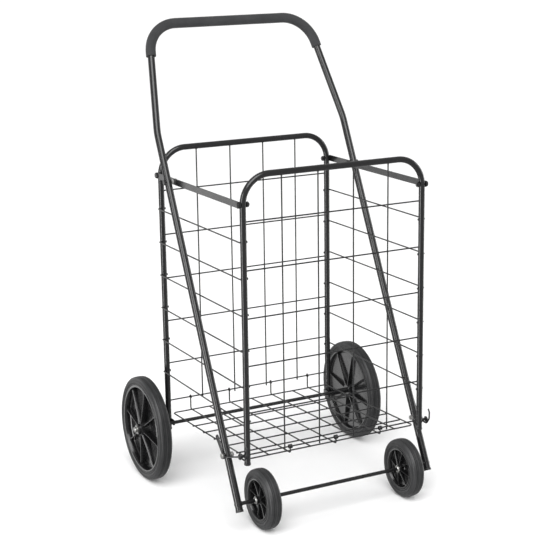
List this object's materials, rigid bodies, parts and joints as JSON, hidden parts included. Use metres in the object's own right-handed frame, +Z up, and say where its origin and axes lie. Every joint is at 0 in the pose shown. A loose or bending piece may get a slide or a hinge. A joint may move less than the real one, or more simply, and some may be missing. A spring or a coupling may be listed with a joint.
{
  "type": "folding shopping trolley",
  "caption": "Folding wire shopping trolley: open-topped wire basket on parallel links, a leaning tube handle with foam grip, large rear wheels and small front wheels.",
  "frame": {"origin": "on the floor, below the middle of the overall footprint, with the trolley open and locked", "axes": "+Z up; the front of the trolley, with the small wheels and the open front frame, faces -Y; the handle leans towards +Y; the trolley is mirror-symmetric about the X = 0 plane"},
  "size_m": [0.595, 0.5565, 1.01],
  "materials": {
    "black_tube": "gloss black powder coat on bent steel tube",
    "black_wire": "satin black coating on steel wire",
    "black_steel": "satin black coating on flat steel",
    "zinc_steel": "bright zinc plate",
    "wheel_plastic": "moulded black plastic, fairly glossy",
    "grey_plastic": "moulded light grey plastic",
    "black_plastic": "moulded black plastic",
    "rear_rubber": "dark grey solid tyre, matt",
    "front_rubber": "mid-grey moulded rubber, matt",
    "grip_foam": "closed-cell foam, matt and slightly pebbled"
  },
  "bodies": {
    "rear_frame": {"rear_frame_tube": "black_tube", "rear_grid": "black_wire", "rear_foot_plugs": "black_plastic", "rear_link_bolts": "black_steel", "rear_link_nuts": "black_steel", "rear_axle": "black_steel", "rear_axle_spacers": "black_steel", "rear_axle_washers": "zinc_steel", "rear_axle_caps": "zinc_steel", "axle_bracket_left": "black_steel", "axle_bracket_right": "black_steel"},
    "top_links": {"top_link_left": "black_steel", "top_link_right": "black_steel"},
    "front_frame": {"front_frame_tube": "black_tube", "front_grid": "black_wire", "front_foot_plugs": "black_plastic", "front_link_bolts": "black_steel", "front_link_nuts": "black_steel", "lock_studs": "black_steel"},
    "floor_grid": {"floor_grid": "black_wire"},
    "handle": {"handle_tube": "black_tube", "handle_grip": "grip_foam", "handle_end_caps": "black_plastic", "link_pin_bolts": "black_steel", "link_pin_nuts": "black_steel", "link_pin_spacers": "grey_plastic", "latch_bolts": "zinc_steel", "latch_nuts": "zinc_steel", "front_axle": "black_steel", "front_wheel_nuts": "zinc_steel"},
    "lock_hook_left": {"lock_hook_left": "black_wire"},
    "lock_hook_right": {"lock_hook_right": "black_wire"},
    "rear_wheel_left": {"rear_tyre_left": "rear_rubber", "rear_rim_left": "wheel_plastic"},
    "front_wheel_left": {"front_tyre_left": "front_rubber", "front_rim_left": "wheel_plastic"},
    "rear_wheel_right": {"rear_tyre_right": "rear_rubber", "rear_rim_right": "wheel_plastic"},
    "front_wheel_right": {"front_tyre_right": "front_rubber", "front_rim_right": "wheel_plastic"},
    "side_row_1": {"side_wire_left_1": "black_wire", "side_wire_right_1": "black_wire"},
    "side_row_2": {"side_wire_left_2": "black_wire", "side_wire_right_2": "black_wire"},
    "side_row_3": {"side_wire_left_3": "black_wire", "side_wire_right_3": "black_wire"},
    "side_row_4": {"side_wire_left_4": "black_wire", "side_wire_right_4": "black_wire"},
    "side_row_5": {"side_wire_left_5": "black_wire", "side_wire_right_5": "black_wire"},
    "side_row_6": {"side_wire_left_6": "black_wire", "side_wire_right_6": "black_wire"}
  },
  "joints": [
    {"name": "fold", "type": "hinge", "parent": "rear_frame", "child": "top_links", "pos_m": [0, 0.172, 0.6814], "axis": [-1, 0, 0], "range_deg": [0, 82]},
    {"name": "lock_hook_left_turn", "type": "hinge", "parent": "handle", "child": "lock_hook_left", "pos_m": [-0.23835, -0.17037, 0.155], "axis": [1, 0, 0], "range_deg": [0, 45]},
    {"name": "lock_hook_right_turn", "type": "hinge", "parent": "handle", "child": "lock_hook_right", "pos_m": [0.23835, -0.17037, 0.155], "axis": [1, 0, 0], "range_deg": [0, 45]},
    {"name": "front_frame_hang", "type": "hinge", "parent": "top_links", "child": "front_frame", "pos_m": [0, -0.219, 0.6814], "axis": [-1, 0, 0], "range_deg": [-82, 0]},
    {"name": "handle_swing", "type": "hinge", "parent": "top_links", "child": "handle", "pos_m": [0, 0.08636, 0.6814], "axis": [-1, 0, 0], "range_deg": [-101.4, 0]},
    {"name": "floor_lift", "type": "hinge", "parent": "rear_frame", "child": "floor_grid", "pos_m": [0, 0.172, 0.167], "axis": [-1, 0, 0], "range_deg": [0, 82]},
    {"name": "side_row_1_lift", "type": "hinge", "parent": "rear_frame", "child": "side_row_1", "pos_m": [0, 0.172, 0.6074], "axis": [-1, 0, 0], "range_deg": [0, 82]},
    {"name": "side_row_2_lift", "type": "hinge", "parent": "rear_frame", "child": "side_row_2", "pos_m": [0, 0.172, 0.5334], "axis": [-1, 0, 0], "range_deg": [0, 82]},
    {"name": "side_row_3_lift", "type": "hinge", "parent": "rear_frame", "child": "side_row_3", "pos_m": [0, 0.172, 0.4594], "axis": [-1, 0, 0], "range_deg": [0, 82]},
    {"name": "side_row_4_lift", "type": "hinge", "parent": "rear_frame", "child": "side_row_4", "pos_m": [0, 0.172, 0.3854], "axis": [-1, 0, 0], "range_deg": [0, 82]},
    {"name": "side_row_5_lift", "type": "hinge", "parent": "rear_frame", "child": "side_row_5", "pos_m": [0, 0.172, 0.3114], "axis": [-1, 0, 0], "range_deg": [0, 82]},
    {"name": "side_row_6_lift", "type": "hinge", "parent": "rear_frame", "child": "side_row_6", "pos_m": [0, 0.172, 0.2374], "axis": [-1, 0, 0], "range_deg": [0, 82]},
    {"name": "rear_wheel_left_spin", "type": "hinge", "parent": "rear_frame", "child": "rear_wheel_left", "pos_m": [0, 0.1615, 0.1165], "axis": [1, 0, 0], "continuous": true},
    {"name": "front_wheel_left_spin", "type": "hinge", "parent": "handle", "child": "front_wheel_left", "pos_m": [0, -0.215, 0.0635], "axis": [1, 0, 0], "continuous": true},
    {"name": "rear_wheel_right_spin", "type": "hinge", "parent": "rear_frame", "child": "rear_wheel_right", "pos_m": [0, 0.1615, 0.1165], "axis": [1, 0, 0], "continuous": true},
    {"name": "front_wheel_right_spin", "type": "hinge", "parent": "handle", "child": "front_wheel_right", "pos_m": [0, -0.215, 0.0635], "axis": [1, 0, 0], "continuous": true}
  ],
  "couplings": [
    {"joint": "front_frame_hang", "follows": "fold", "ratio": -1},
    {"joint": "handle_swing", "follows": "fold", "ratio": -1.23},
    {"joint": "floor_lift", "follows": "fold", "ratio": 1},
    {"joint": "side_row_1_lift", "follows": "fold", "ratio": 1},
    {"joint": "side_row_2_lift", "follows": "fold", "ratio": 1},
    {"joint": "side_row_3_lift", "follows": "fold", "ratio": 1},
    {"joint": "side_row_4_lift", "follows": "fold", "ratio": 1},
    {"joint": "side_row_5_lift", "follows": "fold", "ratio": 1},
    {"joint": "side_row_6_lift", "follows": "fold", "ratio": 1}
  ]
}
